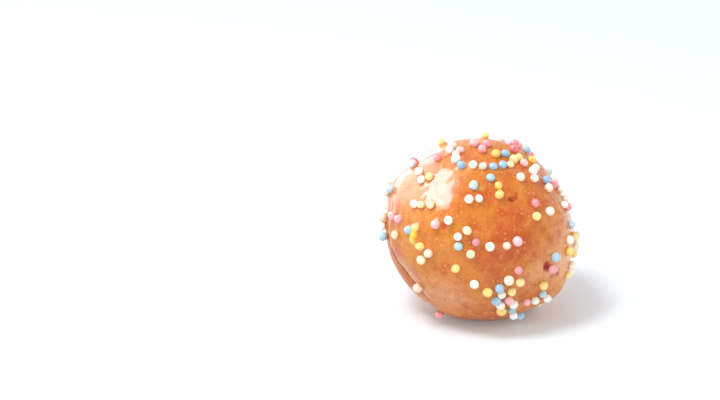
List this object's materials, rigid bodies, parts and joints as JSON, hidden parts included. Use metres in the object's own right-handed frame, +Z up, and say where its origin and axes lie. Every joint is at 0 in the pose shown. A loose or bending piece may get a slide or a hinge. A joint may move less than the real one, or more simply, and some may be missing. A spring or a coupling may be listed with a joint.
{
  "type": "doughnut hole",
  "caption": "Glazed yeast doughnut hole rolled in small coloured sugar pearls, resting on a small flat spot.",
  "frame": {"origin": "middle of the flat spot that the ball rests on", "axes": "+Z up; -Y is the side that shows in the picture; +X is to the right as seen from that side"},
  "size_m": [0.0419, 0.0396, 0.0377],
  "materials": {
    "glazed_dough": "gloss"
  },
  "bodies": {
    "root": {"doughnut_hole": "glazed_dough"}
  },
  "joints": []
}
